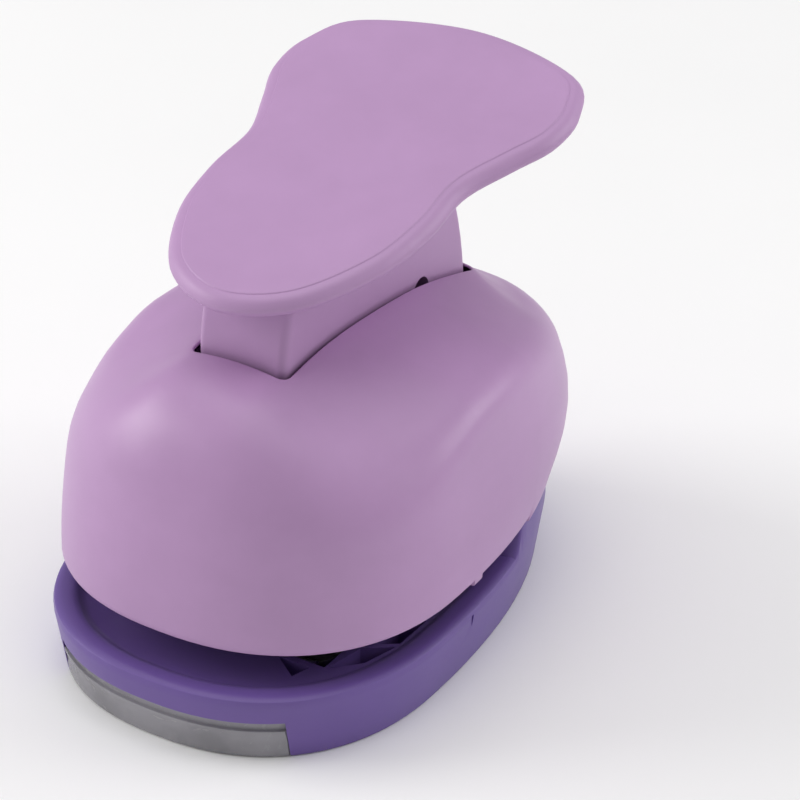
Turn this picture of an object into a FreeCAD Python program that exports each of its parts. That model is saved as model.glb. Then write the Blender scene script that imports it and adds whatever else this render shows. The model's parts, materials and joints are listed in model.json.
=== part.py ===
import FreeCAD
import Part
import math
import os

from FreeCAD import Vector

# Lever-action craft punch. Millimetres, +Z up, the front (paper side) faces -Y.
# The origin is the middle of the footprint, on the surface the punch stands on.

# ---- egg-shaped plan of the casing: blunt in front, long and narrow to the rear ----
HOUSING_HALF_WIDTH = 25.0
HOUSING_FRONT = 25.4          # widest line to the front tip
HOUSING_REAR = 45.3           # widest line to the rear tip
HOUSING_WIDEST_Y = -8.5
FOOT_HALF_WIDTH = 23.2
FOOT_FRONT = 25.2
FOOT_REAR = 46.7
RIM_HALF_WIDTH = 24.6
RIM_FRONT = 26.5
RIM_REAR = 47.5
BASE_WIDEST_Y = -10.5
FRONT_FULLNESS = 2.3          # 2 is a true ellipse, more is squarer
REAR_FULLNESS = 2.2
EGG_POINTS = 28

# ---- heights ----
RIM_Z = 8.6                   # outer top edge of the base
DECK_Z = 8.0                  # paper rests here
DECK_UNDERSIDE_Z = 3.5
HEEL_Z = 12.4                 # raised wall at the rear of the base
SKIRT_Z = 13.5                # lower edge of the housing over the paper mouth
SKIRT_REAR_Z = 12.6           # lower edge of the housing behind the mouth
SHOULDER_Z = 32.5             # crease between the skirt and the roof
MOUTH_END_Y = 10.7            # the side gap ends here

# ---- housing ----
HOUSING_WALL = 2.0
SHOULDER_SIDE_INSET = 1.5
SHOULDER_FRONT_INSET = 4.0
SHOULDER_REAR_INSET = 1.5
ROOF_DROP = 2.2               # roof thickness, measured straight down
# roof levels above the shoulder: height, half width, reach to the front, reach to the rear
ROOF_LEVELS = (
    (4.0, 15.9, 18.5, 35.2),
    (7.0, 10.2, 14.5, 27.3),
    (7.9, 8.6, 11.9, 21.5),
    (8.9, 6.2, 7.0, 8.0),
)
ROOF_SKIRT_DEPTH = 6.0        # the roof surface carries on this far below the shoulder
ROOF_SKIRT_SPREAD = 11.0
CHEEK_THICKNESS = 2.5
CHEEK_Z = 27.0
TAB_Y = -3.5
TAB_LENGTH = 3.4
TAB_DROP = 1.2
TAB_INSET = 0.2               # tab set back from both faces of the wall
TAB_ROOT = 0.5                # how far the tab's upper end goes into the wall

# ---- base ----
BASE_WALL = 2.0
RIM_LAND = 1.0                # flat top of the rim
RIM_BAND = 5.0                # sloping band inside the rim
HEEL_INSET = 0.3
NOTCH_HALF_WIDTH = 15.8       # front cut-out that shows the cover
NOTCH_Z = 5.3
NOTCH_REAR_Y = -24.0
TRUSS_MARGIN = 1.0
CHIP_MARGIN = 1.0             # deck opening under the die, beyond the cross
TRUSS_RIB = 1.3
TRUSS_PITCH = 6.5
TRUSS_ANGLE = 32.0

# ---- clear cover ----
COVER_WALL = 1.2
COVER_GAP = 0.15
COVER_Z = 3.3

# ---- cutting set ----
CUT_LENGTH = 25.0             # the cross, along Y
CUT_WIDTH = 18.5
CUT_BAR = 8.0
CUT_ARM_START = 4.9           # from the head end of the cross to its arms
CUT_RADIUS = 0.7
CUT_CENTRE_Y = -4.5
PLATE_SIDE_MARGIN = 6.25      # steel beside the cross
PLATE_FRONT_MARGIN = 6.0
PLATE_REAR_Y = 27.0
PLATE_TAPER_Y = 10.0
PLATE_REAR_HALF_WIDTH = 12.2
PLATE_CORNER = 3.0
DIE_THICKNESS = 2.5
GUIDE_THICKNESS = 2.5
PAPER_GAP = 1.5
SPACER_FRONT_Y = 12.0
SPACER_INNER_X = 5.5
DIE_FIT = 0.05                # all round, cutter to die and guide
POCKET_FIT = 0.1
CUTTER_LIFT = 0.3             # cutter edge above the paper gap at rest

# ---- lever and its pins ----
PIVOT_Y = -19.5
PIVOT_Z = 32.0
PIVOT_DIAMETER = 4.0
PIVOT_BOSS = 3.6
SWING = 11.0                  # degrees from rest to fully pressed
NOSE_ARM = 16.0
NOSE_RADIUS = 3.0
NOSE_GAP = 0.08
STEM_HALF_WIDTH = 5.6
STEM_RADIUS = 42.7            # round rear face, centred on the pivot
STEM_WALL = 1.8
STEM_HEEL = 6.0               # centre of the nose to the stem's lower front corner
STEM_NOTCH = 7.8              # centre of the nose to the lowest edge's front end
ARM_RISE = 1.2                # underside of the arm above the pivot's centre, at the nose
PAD_ROOT = 0.5                # how far the stem goes into the pad
CHEEK_REAR_MARGIN = 2.0       # cheeks past the rear end of the slot
STEM_BOTTOM_Z = 27.5
STEM_FRONT_Y = -16.0          # at the height of the slot
STEM_FRONT_TOP_Y = -14.3      # under the pad
SLOT_SIDE_GAP = 0.94
SLOT_REAR_GAP = 1.5
SLOT_FRONT_GAP = 1.3
SLOT_CORNER = 1.2
STOP_DIAMETER = 3.0
STOP_RADIUS = 33.0            # stop pin to pivot
STOP_FIT = 0.2
RUN_FIT = 0.05
PAD_TILT = 10.3
PAD_Y = 11.6                  # a point on the top face, measured along the tilt from here
PAD_Z = 57.96
PAD_THICKNESS = 3.0
PAD_EDGE = 1.2
# half of the hourglass outline: half width, distance along the pad from the point above
PAD_OUTLINE = (
    (0.0, -32.2),
    (9.0, -28.7),
    (14.0, -20.5),
    (14.7, -12.5),
    (13.8, -4.5),
    (16.5, 1.8),
    (19.5, 8.0),
    (19.2, 14.5),
    (14.8, 20.8),
    (0.0, 24.3),
)

# ---- pressure head, posts, springs ----
HEAD_CLEAR = 1.9              # head above the guide plate when fully pressed
HEAD_THICKNESS = 7.0
HEAD_HALF_WIDTH = 15.2
HEAD_FRONT_Y = -16.2
HEAD_REAR_Y = 8.6
COLUMN_HALF_WIDTH = 5.4
COLUMN_LENGTH = 7.0
POST_X = 11.2
POST_Y = 0.5
POST_DIAMETER = 3.0
POST_HEADROOM = 2.4
SPRING_WIRE = 0.6
SPRING_MEAN_DIAMETER = 4.6
SPRING_TURNS = 5
SPRING_ROOM = 0.45            # round the spring in its pocket
POCKET_ROOF = 2.6
CLIP_DIAMETER = 6.6
CLIP_THICKNESS = 0.8
CLIP_GAP = 0.1

# ---- screws ----
CUTTER_SCREW_DIAMETER = 2.5
CUTTER_SCREW_HEAD = 4.6
CUTTER_SCREW_DEPTH = 5.0
CUTTER_SCREW_END = 2.5        # from each end of the cross
GUIDE_SCREW_X = 12.0
GUIDE_SCREW_Y = -19.6
GUIDE_SCREW_DIAMETER = 2.6
GUIDE_SCREW_HEAD = 4.8
BASE_SCREW_PLACES = ((11.0, 15.0), (9.2, 23.2))
BASE_SCREW_DIAMETER = 2.8
BASE_SCREW_HEAD = 5.0
HEAD_HEIGHT = 1.5
SCREW_BITE = 9.0              # length of thread in the housing
BOSS_WALL = 1.6
BOSS_TOP_Z = 25.0
RIB = 1.6
SOCKET = 1.5
PASS_FIT = 0.15               # screw shanks through plates

# ---- places worked out from the sizes above ----
DIE_Z = DECK_Z - DIE_THICKNESS
GUIDE_Z = DECK_Z + PAPER_GAP
GUIDE_TOP_Z = GUIDE_Z + GUIDE_THICKNESS
HALF_SWING = math.radians(SWING / 2)
TRAVEL = 2 * NOSE_ARM * math.sin(HALF_SWING)
NOSE_Y = PIVOT_Y + NOSE_ARM * math.cos(HALF_SWING)
NOSE_Z = PIVOT_Z + NOSE_ARM * math.sin(HALF_SWING)
CUTTER_Z = GUIDE_Z + CUTTER_LIFT
HEAD_Z = GUIDE_TOP_Z + HEAD_CLEAR + TRAVEL
HEAD_TOP_Z = HEAD_Z + HEAD_THICKNESS
COLUMN_TOP_Z = NOSE_Z - NOSE_RADIUS - NOSE_GAP
POCKET_TOP_Z = HEAD_TOP_Z - POCKET_ROOF
POST_TOP_Z = HEAD_TOP_Z + POST_HEADROOM
CUT_FRONT_Y = CUT_CENTRE_Y - CUT_LENGTH / 2
CUT_REAR_Y = CUT_CENTRE_Y + CUT_LENGTH / 2
PLATE_HALF_WIDTH = CUT_WIDTH / 2 + PLATE_SIDE_MARGIN
PLATE_FRONT_Y = CUT_FRONT_Y - PLATE_FRONT_MARGIN
SLOT_HALF_WIDTH = STEM_HALF_WIDTH + SLOT_SIDE_GAP
SLOT_FRONT_Y = STEM_FRONT_Y - SLOT_FRONT_GAP
SLOT_REAR_Y = PIVOT_Y + STEM_RADIUS + SLOT_REAR_GAP
ROOF_TOP_Z = SHOULDER_Z + ROOF_LEVELS[-1][0]
CHEEK_OUTER_X = SLOT_HALF_WIDTH + CHEEK_THICKNESS
POST_PLACES = ((-POST_X, POST_Y), (POST_X, POST_Y))
CUTTER_SCREW_PLACES = (
    (0.0, CUT_FRONT_Y + CUTTER_SCREW_END),
    (0.0, CUT_REAR_Y - CUTTER_SCREW_END),
)
BASE_SCREWS = [(side * x, y) for side in (-1, 1) for x, y in BASE_SCREW_PLACES]
GUIDE_SCREWS = [(side * GUIDE_SCREW_X, GUIDE_SCREW_Y) for side in (-1, 1)]
POCKET_DIAMETER = SPRING_MEAN_DIAMETER + SPRING_WIRE + 2 * SPRING_ROOM
FAR = 200.0                   # larger than the object, for cutting away a whole side
PAST = 1.0                    # how far a straight cut runs past the face it opens
BOWL_PAST = 0.001             # how far the sloping cut inside the rim runs past the rim


def egg(z, half_width, front, rear, widest_y, inset=0.0):
    """Closed egg-shaped wire at height z."""
    points = []
    for i in range(EGG_POINTS):
        turn = 2 * math.pi * i / EGG_POINTS
        side, along = math.cos(turn), math.sin(turn)
        power = 2 / (REAR_FULLNESS if along > 0 else FRONT_FULLNESS)
        reach = (rear if along > 0 else front) - inset
        x = math.copysign(abs(side) ** power, side) * (half_width - inset)
        y = widest_y + math.copysign(abs(along) ** power, along) * reach
        points.append(Vector(x, y, z))
    curve = Part.BSplineCurve()
    curve.interpolate(points, PeriodicFlag=True)
    return Part.Wire(curve.toShape())


def base_section(z, inset=0.0):
    """Outline of the flared base wall at height z."""
    share = z / RIM_Z
    half_width = FOOT_HALF_WIDTH + share * (RIM_HALF_WIDTH - FOOT_HALF_WIDTH)
    front = FOOT_FRONT + share * (RIM_FRONT - FOOT_FRONT)
    rear = FOOT_REAR + share * (RIM_REAR - FOOT_REAR)
    return egg(z, half_width, front, rear, BASE_WIDEST_Y, inset)


def base_block(low, high, inset=0.0):
    return Part.makeLoft([base_section(low, inset), base_section(high, inset)], True, True)


def box(x0, x1, y0, y1, z0, z1):
    return Part.makeBox(x1 - x0, y1 - y0, z1 - z0, Vector(x0, y0, z0))


def rod(x, y, z0, z1, diameter):
    return Part.makeCylinder(diameter / 2, z1 - z0, Vector(x, y, z0))


def cross_pin(y, z, half_length, diameter):
    return Part.makeCylinder(diameter / 2, 2 * half_length, Vector(-half_length, y, z), Vector(1, 0, 0))


def joined(shapes):
    """One solid from several that touch or overlap."""
    whole = shapes[0]
    for shape in shapes[1:]:
        whole = whole.fuse(shape)
    return whole


def polygon_block(points, z0, z1, radius):
    """Upright prism on a polygon with rounded corners."""
    face = Part.Face(Part.makePolygon([Vector(x, y, z0) for x, y in points + points[:1]]))
    block = face.extrude(Vector(0, 0, z1 - z0))
    upright = [edge for edge in block.Edges if abs(edge.BoundBox.ZLength) > 0.5 * (z1 - z0)]
    return block.makeFillet(radius, upright)


def plate_block(z0, z1, gap=0.0):
    """The shared outline of die plate and guide plate, tapered towards the rear."""
    wide = PLATE_HALF_WIDTH + gap
    narrow = PLATE_REAR_HALF_WIDTH + gap
    front = PLATE_FRONT_Y - gap
    rear = PLATE_REAR_Y + gap
    corners = [
        (-wide, front),
        (wide, front),
        (wide, PLATE_TAPER_Y),
        (narrow, rear),
        (-narrow, rear),
        (-wide, PLATE_TAPER_Y),
    ]
    return polygon_block(corners, z0, z1, PLATE_CORNER)


def cross_block(z0, z1, gap=0.0):
    """The cut shape: a cross with its head end towards the front."""
    bar = CUT_BAR / 2 + gap
    arm = CUT_WIDTH / 2 + gap
    head = CUT_FRONT_Y - gap
    foot = CUT_REAR_Y + gap
    arm_front = CUT_FRONT_Y + CUT_ARM_START - gap
    arm_rear = CUT_FRONT_Y + CUT_ARM_START + CUT_BAR + gap
    half = [(bar, head), (bar, arm_front), (arm, arm_front), (arm, arm_rear), (bar, arm_rear), (bar, foot)]
    corners = half + [(-x, y) for x, y in reversed(half)]
    return polygon_block(corners, z0, z1, CUT_RADIUS)


def skirt_section(z, inset=0.0):
    """Outline of the housing's side wall at height z; it leans in as it rises."""
    share = (z - SKIRT_REAR_Z) / (SHOULDER_Z - SKIRT_REAR_Z)
    half_width = HOUSING_HALF_WIDTH - share * SHOULDER_SIDE_INSET
    front = HOUSING_FRONT - share * SHOULDER_FRONT_INSET
    rear = HOUSING_REAR - share * SHOULDER_REAR_INSET
    return egg(z, half_width, front, rear, HOUSING_WIDEST_Y, inset)


def skirt_block(low, high, inset=0.0):
    return Part.makeLoft([skirt_section(low, inset), skirt_section(high, inset)], True, True)


def roof_block(drop):
    """Everything under the roof surface, wider than the housing, lowered by drop."""
    shoulder = (
        0.0,
        HOUSING_HALF_WIDTH - SHOULDER_SIDE_INSET,
        HOUSING_FRONT - SHOULDER_FRONT_INSET,
        HOUSING_REAR - SHOULDER_REAR_INSET,
    )
    hem = (-ROOF_SKIRT_DEPTH,) + tuple(size + ROOF_SKIRT_SPREAD for size in shoulder[1:])
    wires = [egg(SHOULDER_Z + rise - drop, half_width, front, rear, HOUSING_WIDEST_Y)
             for rise, half_width, front, rear in (hem, shoulder) + ROOF_LEVELS]
    roof = Part.makeLoft(wires, True, False)
    below = Part.makeLoft([
        egg(0.0, *hem[1:], HOUSING_WIDEST_Y),
        egg(SHOULDER_Z - ROOF_SKIRT_DEPTH - drop, *hem[1:], HOUSING_WIDEST_Y),
    ], True, True)
    return roof.fuse(below)


def dome(low, inset, drop):
    """The housing's shape from height low up, shrunk inwards by inset and lowered by drop."""
    return skirt_block(low, ROOF_TOP_Z, inset).common(roof_block(drop))


def base_frame():
    """Dark base: flared wall, deck with slanting ribs, heel wall at the rear, front cut-out."""
    body = base_block(0.0, RIM_Z)
    heel = Part.makeLoft([
        base_section(RIM_Z),
        egg(HEEL_Z, HOUSING_HALF_WIDTH, HOUSING_FRONT, HOUSING_REAR, HOUSING_WIDEST_Y, HEEL_INSET),
    ], True, True)
    heel = heel.common(box(-FAR, FAR, MOUTH_END_Y, FAR, 0, FAR))
    body = body.fuse(heel)
    bowl = Part.makeLoft([
        base_section(DECK_Z, RIM_BAND),
        base_section(RIM_Z + BOWL_PAST, RIM_LAND),
    ], True, True)
    body = body.cut(bowl)
    room = base_block(DECK_Z, HEEL_Z + PAST, BASE_WALL)
    body = body.cut(room.common(box(-FAR, FAR, MOUTH_END_Y, FAR, 0, FAR)))
    body = body.cut(base_block(0.0, DECK_UNDERSIDE_Z, BASE_WALL))
    body = body.cut(box(-NOTCH_HALF_WIDTH, NOTCH_HALF_WIDTH, -FAR, NOTCH_REAR_Y, -PAST, NOTCH_Z))
    body = body.cut(plate_block(DIE_Z, HEEL_Z + PAST, POCKET_FIT))
    chip_x = CUT_WIDTH / 2 + CHIP_MARGIN
    body = body.cut(box(-chip_x, chip_x, CUT_FRONT_Y - CHIP_MARGIN, CUT_REAR_Y + CHIP_MARGIN, 0, DECK_Z))
    body = body.cut(truss_openings())
    for x, y in BASE_SCREWS:
        body = body.cut(rod(x, y, 0, DECK_Z, BASE_SCREW_DIAMETER + 2 * PASS_FIT))
    return body


def truss_openings():
    """Openings through the deck between the die pocket and the rim, with slanting ribs left."""
    ring = base_block(DECK_UNDERSIDE_Z - PAST, RIM_Z, RIM_BAND + TRUSS_MARGIN)
    ring = ring.cut(plate_block(0, RIM_Z + PAST, TRUSS_MARGIN + POCKET_FIT))
    ring = ring.common(box(-FAR, FAR, -FAR, MOUTH_END_Y - BASE_WALL, 0, FAR))
    rows = int((MOUTH_END_Y - BASE_WIDEST_Y + FOOT_FRONT) / TRUSS_PITCH)
    for side in (-1, 1):
        for row in range(rows):
            y = MOUTH_END_Y - TRUSS_PITCH * (row + 0.5)
            lean = TRUSS_ANGLE if row % 2 else -TRUSS_ANGLE
            x0, x1 = sorted((0, side * RIM_REAR))
            rib = box(x0, x1, -TRUSS_RIB / 2, TRUSS_RIB / 2, 0, RIM_Z)
            rib.rotate(Vector(side * PLATE_HALF_WIDTH, 0, 0), Vector(0, 0, 1), lean)
            rib.translate(Vector(0, y, 0))
            ring = ring.cut(rib)
    return ring


def bottom_cover():
    """Clear cover that closes the base from below and catches the paper chips."""
    outer = base_block(0.0, COVER_Z, BASE_WALL + COVER_GAP)
    side = NOTCH_HALF_WIDTH - COVER_GAP
    front = base_block(0.0, NOTCH_Z - COVER_GAP)
    front = front.common(box(-side, side, -FAR, NOTCH_REAR_Y - COVER_GAP, -PAST, FAR))
    hollow = base_block(COVER_WALL, COVER_Z, BASE_WALL + COVER_GAP + COVER_WALL)
    inner_side = side - COVER_WALL
    front_hollow = base_block(COVER_WALL, RIM_Z, COVER_WALL)
    front_hollow = front_hollow.common(
        box(-inner_side, inner_side, -FAR, NOTCH_REAR_Y + COVER_WALL, -PAST, FAR))
    return outer.fuse(front).cut(hollow).cut(front_hollow)


def die_plate():
    plate = plate_block(DIE_Z, DECK_Z).cut(cross_block(DIE_Z - PAST, DECK_Z + PAST, DIE_FIT))
    for x, y in BASE_SCREWS:
        plate = plate.cut(rod(x, y, DIE_Z - PAST, DECK_Z + PAST, BASE_SCREW_DIAMETER + 2 * PASS_FIT))
    return plate


def guide_plate():
    plate = plate_block(GUIDE_Z, GUIDE_TOP_Z).cut(cross_block(GUIDE_Z - PAST, GUIDE_TOP_Z + PAST, DIE_FIT))
    for x, y in BASE_SCREWS:
        plate = plate.cut(rod(x, y, GUIDE_Z - PAST, GUIDE_TOP_Z + PAST, BASE_SCREW_DIAMETER + 2 * PASS_FIT))
    for x, y in POST_PLACES:
        plate = plate.cut(rod(x, y, GUIDE_Z - PAST, GUIDE_TOP_Z + PAST, POST_DIAMETER))
    return plate.cut(guide_screws())


def spacer(side):
    block = plate_block(DECK_Z, GUIDE_Z)
    keep = box(SPACER_INNER_X, FAR, SPACER_FRONT_Y, FAR, 0, FAR)
    if side < 0:
        keep = box(-FAR, -SPACER_INNER_X, SPACER_FRONT_Y, FAR, 0, FAR)
    block = block.common(keep)
    for x, y in BASE_SCREWS:
        block = block.cut(rod(x, y, 0, FAR, BASE_SCREW_DIAMETER + 2 * PASS_FIT))
    return block


def base_screws():
    """Self-tapping screws from under the base, through both plates, into the housing."""
    screws = []
    for x, y in BASE_SCREWS:
        head = rod(x, y, DECK_UNDERSIDE_Z - HEAD_HEIGHT, DECK_UNDERSIDE_Z, BASE_SCREW_HEAD)
        head = head.cut(rod(x, y, 0, DECK_UNDERSIDE_Z - HEAD_HEIGHT / 2, SOCKET))
        shank = rod(x, y, DECK_UNDERSIDE_Z, GUIDE_TOP_Z + SCREW_BITE, BASE_SCREW_DIAMETER)
        screws.append(joined([head, shank]))
    return Part.makeCompound(screws)


def guide_screws():
    """Countersunk screws that hold the front of the guide plate up against the housing."""
    screws = []
    for x, y in GUIDE_SCREWS:
        head = Part.makeCone(GUIDE_SCREW_HEAD / 2, GUIDE_SCREW_DIAMETER / 2, HEAD_HEIGHT, Vector(x, y, GUIDE_Z))
        shank = rod(x, y, GUIDE_Z + HEAD_HEIGHT, GUIDE_TOP_Z + SCREW_BITE, GUIDE_SCREW_DIAMETER)
        screws.append(joined([head, shank]))
    return Part.makeCompound(screws)


def cutter():
    block = cross_block(CUTTER_Z, HEAD_Z)
    for x, y in CUTTER_SCREW_PLACES:
        block = block.cut(rod(x, y, HEAD_Z - CUTTER_SCREW_DEPTH, HEAD_Z, CUTTER_SCREW_DIAMETER))
    return block


def cutter_screws():
    screws = []
    for x, y in CUTTER_SCREW_PLACES:
        head = rod(x, y, HEAD_TOP_Z - HEAD_HEIGHT, HEAD_TOP_Z, CUTTER_SCREW_HEAD)
        head = head.cut(rod(x, y, HEAD_TOP_Z - HEAD_HEIGHT / 2, HEAD_TOP_Z, SOCKET))
        shank = rod(x, y, HEAD_Z - CUTTER_SCREW_DEPTH, HEAD_TOP_Z - HEAD_HEIGHT, CUTTER_SCREW_DIAMETER)
        screws.append(joined([head, shank]))
    return Part.makeCompound(screws)


def pressure_head():
    """Block that carries the cutter and slides on the posts, with the column the lever presses."""
    corners = [
        (-HEAD_HALF_WIDTH, HEAD_FRONT_Y),
        (HEAD_HALF_WIDTH, HEAD_FRONT_Y),
        (HEAD_HALF_WIDTH, HEAD_REAR_Y),
        (-HEAD_HALF_WIDTH, HEAD_REAR_Y),
    ]
    block = polygon_block(corners, HEAD_Z, HEAD_TOP_Z, PLATE_CORNER)
    column = box(-COLUMN_HALF_WIDTH, COLUMN_HALF_WIDTH,
                 NOSE_Y - COLUMN_LENGTH / 2, NOSE_Y + COLUMN_LENGTH / 2, HEAD_Z, COLUMN_TOP_Z)
    block = joined([block, column])
    for x, y in POST_PLACES:
        block = block.cut(rod(x, y, 0, FAR, POST_DIAMETER + 2 * RUN_FIT))
        block = block.cut(rod(x, y, 0, POCKET_TOP_Z, POCKET_DIAMETER))
    for x, y in CUTTER_SCREW_PLACES:
        block = block.cut(rod(x, y, 0, FAR, CUTTER_SCREW_DIAMETER))
        block = block.cut(rod(x, y, HEAD_TOP_Z - HEAD_HEIGHT, FAR, CUTTER_SCREW_HEAD))
    return block


def guide_post(place):
    x, y = place
    return rod(x, y, GUIDE_Z, POST_TOP_Z, POST_DIAMETER)


def post_clip(place):
    """Push-on ring over the end of a post: the head comes to rest under it."""
    x, y = place
    low = HEAD_TOP_Z + CLIP_GAP
    ring = rod(x, y, low, low + CLIP_THICKNESS, CLIP_DIAMETER)
    return ring.cut(rod(x, y, 0, FAR, POST_DIAMETER))


def return_spring(place):
    """Compression spring round a post, from the guide plate to the roof of its pocket."""
    x, y = place
    low = GUIDE_TOP_Z + SPRING_WIRE / 2
    high = POCKET_TOP_Z - SPRING_WIRE / 2
    radius = SPRING_MEAN_DIAMETER / 2
    helix = Part.makeHelix((high - low) / SPRING_TURNS, high - low, radius)
    start = Vector(radius, 0, 0)
    section = Part.Wire(Part.makeCircle(SPRING_WIRE / 2, start, Vector(0, 1, 0)))
    coil = Part.Wire(helix.Edges).makePipeShell([section], True, True)
    coil.translate(Vector(x, y, low))
    return coil


def pivot_pin():
    return cross_pin(PIVOT_Y, PIVOT_Z, CHEEK_OUTER_X, PIVOT_DIAMETER)


def stop_pin():
    return cross_pin(PIVOT_Y + STOP_RADIUS, PIVOT_Z, CHEEK_OUTER_X, STOP_DIAMETER)


def side_block(points, half_width):
    """Prism across the object, from a polygon of (y, z) points."""
    ring = [Vector(-half_width, y, z) for y, z in points + points[:1]]
    return Part.Face(Part.makePolygon(ring)).extrude(Vector(2 * half_width, 0, 0))


def stem(half_width, inset):
    """Upright web of the lever, from the pivot to the pad, with its round rear face."""
    under_pad = PAD_Z - (PAD_THICKNESS - PAD_ROOT) / math.cos(math.radians(PAD_TILT)) - inset
    slope = math.tan(math.radians(PAD_TILT))
    front_top_z = under_pad + (STEM_FRONT_TOP_Y - PAD_Y) * slope
    reach = STEM_RADIUS
    points = [
        (STEM_FRONT_Y + inset, PIVOT_Z + inset),
        (STEM_FRONT_Y + inset, ROOF_TOP_Z),
        (STEM_FRONT_TOP_Y + inset, front_top_z),
        (PIVOT_Y + reach, under_pad + (PIVOT_Y + reach - PAD_Y) * slope),
        (PIVOT_Y + reach, STEM_BOTTOM_Z + inset),
        (NOSE_Y + STEM_NOTCH, STEM_BOTTOM_Z + inset),
        (NOSE_Y + STEM_HEEL, PIVOT_Z + inset),
    ]
    web = side_block(points, half_width)
    sweep = cross_pin(PIVOT_Y, PIVOT_Z, half_width, 2 * (STEM_RADIUS - inset))
    return web.common(sweep)


def arc_slot():
    """Curved slot through the stem that the stop pin runs in."""
    radius = STOP_DIAMETER / 2 + STOP_FIT
    wide = 2 * STEM_HALF_WIDTH
    ring = cross_pin(PIVOT_Y, PIVOT_Z, wide, 2 * (STOP_RADIUS + radius))
    ring = ring.cut(cross_pin(PIVOT_Y, PIVOT_Z, wide, 2 * (STOP_RADIUS - radius)))
    far = 2 * STOP_RADIUS
    angle = math.radians(SWING)
    wedge = side_block([
        (PIVOT_Y, PIVOT_Z),
        (PIVOT_Y + far, PIVOT_Z),
        (PIVOT_Y + far * math.cos(angle), PIVOT_Z + far * math.sin(angle)),
    ], wide)
    slot = ring.common(wedge)
    for turn in (0.0, angle):
        y = PIVOT_Y + STOP_RADIUS * math.cos(turn)
        z = PIVOT_Z + STOP_RADIUS * math.sin(turn)
        slot = slot.fuse(cross_pin(y, z, wide, 2 * radius))
    return slot


def thumb_pad():
    """Hourglass pad, tilted up to the rear, with rounded edges."""
    half = [Vector(x, v, 0) for x, v in PAD_OUTLINE]
    other = [Vector(-x, v, 0) for x, v in PAD_OUTLINE[-2:0:-1]]
    curve = Part.BSplineCurve()
    curve.interpolate(half + other, PeriodicFlag=True)
    slab = Part.Face(Part.Wire(curve.toShape())).extrude(Vector(0, 0, -PAD_THICKNESS))
    slab = slab.makeFillet(PAD_EDGE, slab.Edges[:])
    slab.rotate(Vector(0, 0, 0), Vector(1, 0, 0), PAD_TILT)
    slab.translate(Vector(0, PAD_Y, PAD_Z))
    return slab


def lever():
    """Pad, hollow stem, pivot boss and the rounded nose that presses the head."""
    boss = cross_pin(PIVOT_Y, PIVOT_Z, STEM_HALF_WIDTH, 2 * PIVOT_BOSS)
    nose = cross_pin(NOSE_Y, NOSE_Z, COLUMN_HALF_WIDTH, 2 * NOSE_RADIUS)
    arm = side_block([
        (PIVOT_Y, PIVOT_Z),
        (NOSE_Y + NOSE_RADIUS, PIVOT_Z + ARM_RISE),
        (NOSE_Y + NOSE_RADIUS, PIVOT_Z + PIVOT_BOSS),
        (PIVOT_Y, PIVOT_Z + PIVOT_BOSS),
    ], STEM_HALF_WIDTH)
    body = joined([stem(STEM_HALF_WIDTH, 0.0), boss, nose, arm])
    hollow = stem(STEM_HALF_WIDTH - STEM_WALL, STEM_WALL)
    above_nose = box(-FAR, FAR, -FAR, FAR, PIVOT_Z + PIVOT_BOSS + STEM_WALL, FAR)
    behind_nose = box(-FAR, FAR, NOSE_Y + STEM_HEEL + STEM_WALL, FAR, 0, FAR)
    body = body.cut(hollow.common(above_nose.fuse(behind_nose)))
    body = body.cut(arc_slot())
    body = body.cut(cross_pin(PIVOT_Y, PIVOT_Z, FAR, PIVOT_DIAMETER + 2 * RUN_FIT))
    return joined([body, thumb_pad()])


def housing():
    """Upper shell with the lever slot, pin cheeks, screw bosses and a stepped lower edge."""
    room = dome(SKIRT_REAR_Z, HOUSING_WALL, ROOF_DROP)
    for feature in cheeks() + bosses(SKIRT_REAR_Z):
        room = room.cut(feature)
    shell = dome(SKIRT_REAR_Z, 0.0, 0.0).cut(room)
    shell = shell.cut(box(-FAR, FAR, -FAR, MOUTH_END_Y, 0, SKIRT_Z))
    for feature in boss_feet() + skirt_tabs():
        shell = shell.fuse(feature)
    shell = shell.cut(lever_opening())
    shell = shell.cut(pivot_pin()).cut(stop_pin())
    for x, y in BASE_SCREWS:
        shell = shell.cut(rod(x, y, 0, GUIDE_TOP_Z + SCREW_BITE, BASE_SCREW_DIAMETER))
    for x, y in GUIDE_SCREWS:
        shell = shell.cut(rod(x, y, 0, GUIDE_TOP_Z + SCREW_BITE, GUIDE_SCREW_DIAMETER))
    return shell


def lever_opening():
    """Slot through the roof for the lever's stem."""
    return polygon_block([
        (-SLOT_HALF_WIDTH, SLOT_FRONT_Y),
        (SLOT_HALF_WIDTH, SLOT_FRONT_Y),
        (SLOT_HALF_WIDTH, SLOT_REAR_Y),
        (-SLOT_HALF_WIDTH, SLOT_REAR_Y),
    ], CHEEK_Z - PAST, FAR, SLOT_CORNER)


def skirt_tabs():
    """Small tab on each side of the lower edge, over the paper mouth."""
    low, high = SKIRT_Z - TAB_DROP, SKIRT_Z + TAB_ROOT
    ring = skirt_block(low, high, TAB_INSET).cut(skirt_block(low - PAST, high + PAST, HOUSING_WALL - TAB_INSET))
    y0, y1 = TAB_Y - TAB_LENGTH / 2, TAB_Y + TAB_LENGTH / 2
    return [ring.common(box(-FAR, 0, y0, y1, 0, FAR)), ring.common(box(0, FAR, y0, y1, 0, FAR))]


def cheeks():
    """Walls hanging from the roof beside the slot; they hold both cross pins."""
    walls = []
    for side in (-1, 1):
        x0, x1 = sorted((side * SLOT_HALF_WIDTH, side * CHEEK_OUTER_X))
        walls.append(box(x0, x1, PIVOT_Y - 2 * PIVOT_BOSS, SLOT_REAR_Y + CHEEK_REAR_MARGIN, CHEEK_Z, FAR))
    return walls


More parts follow.
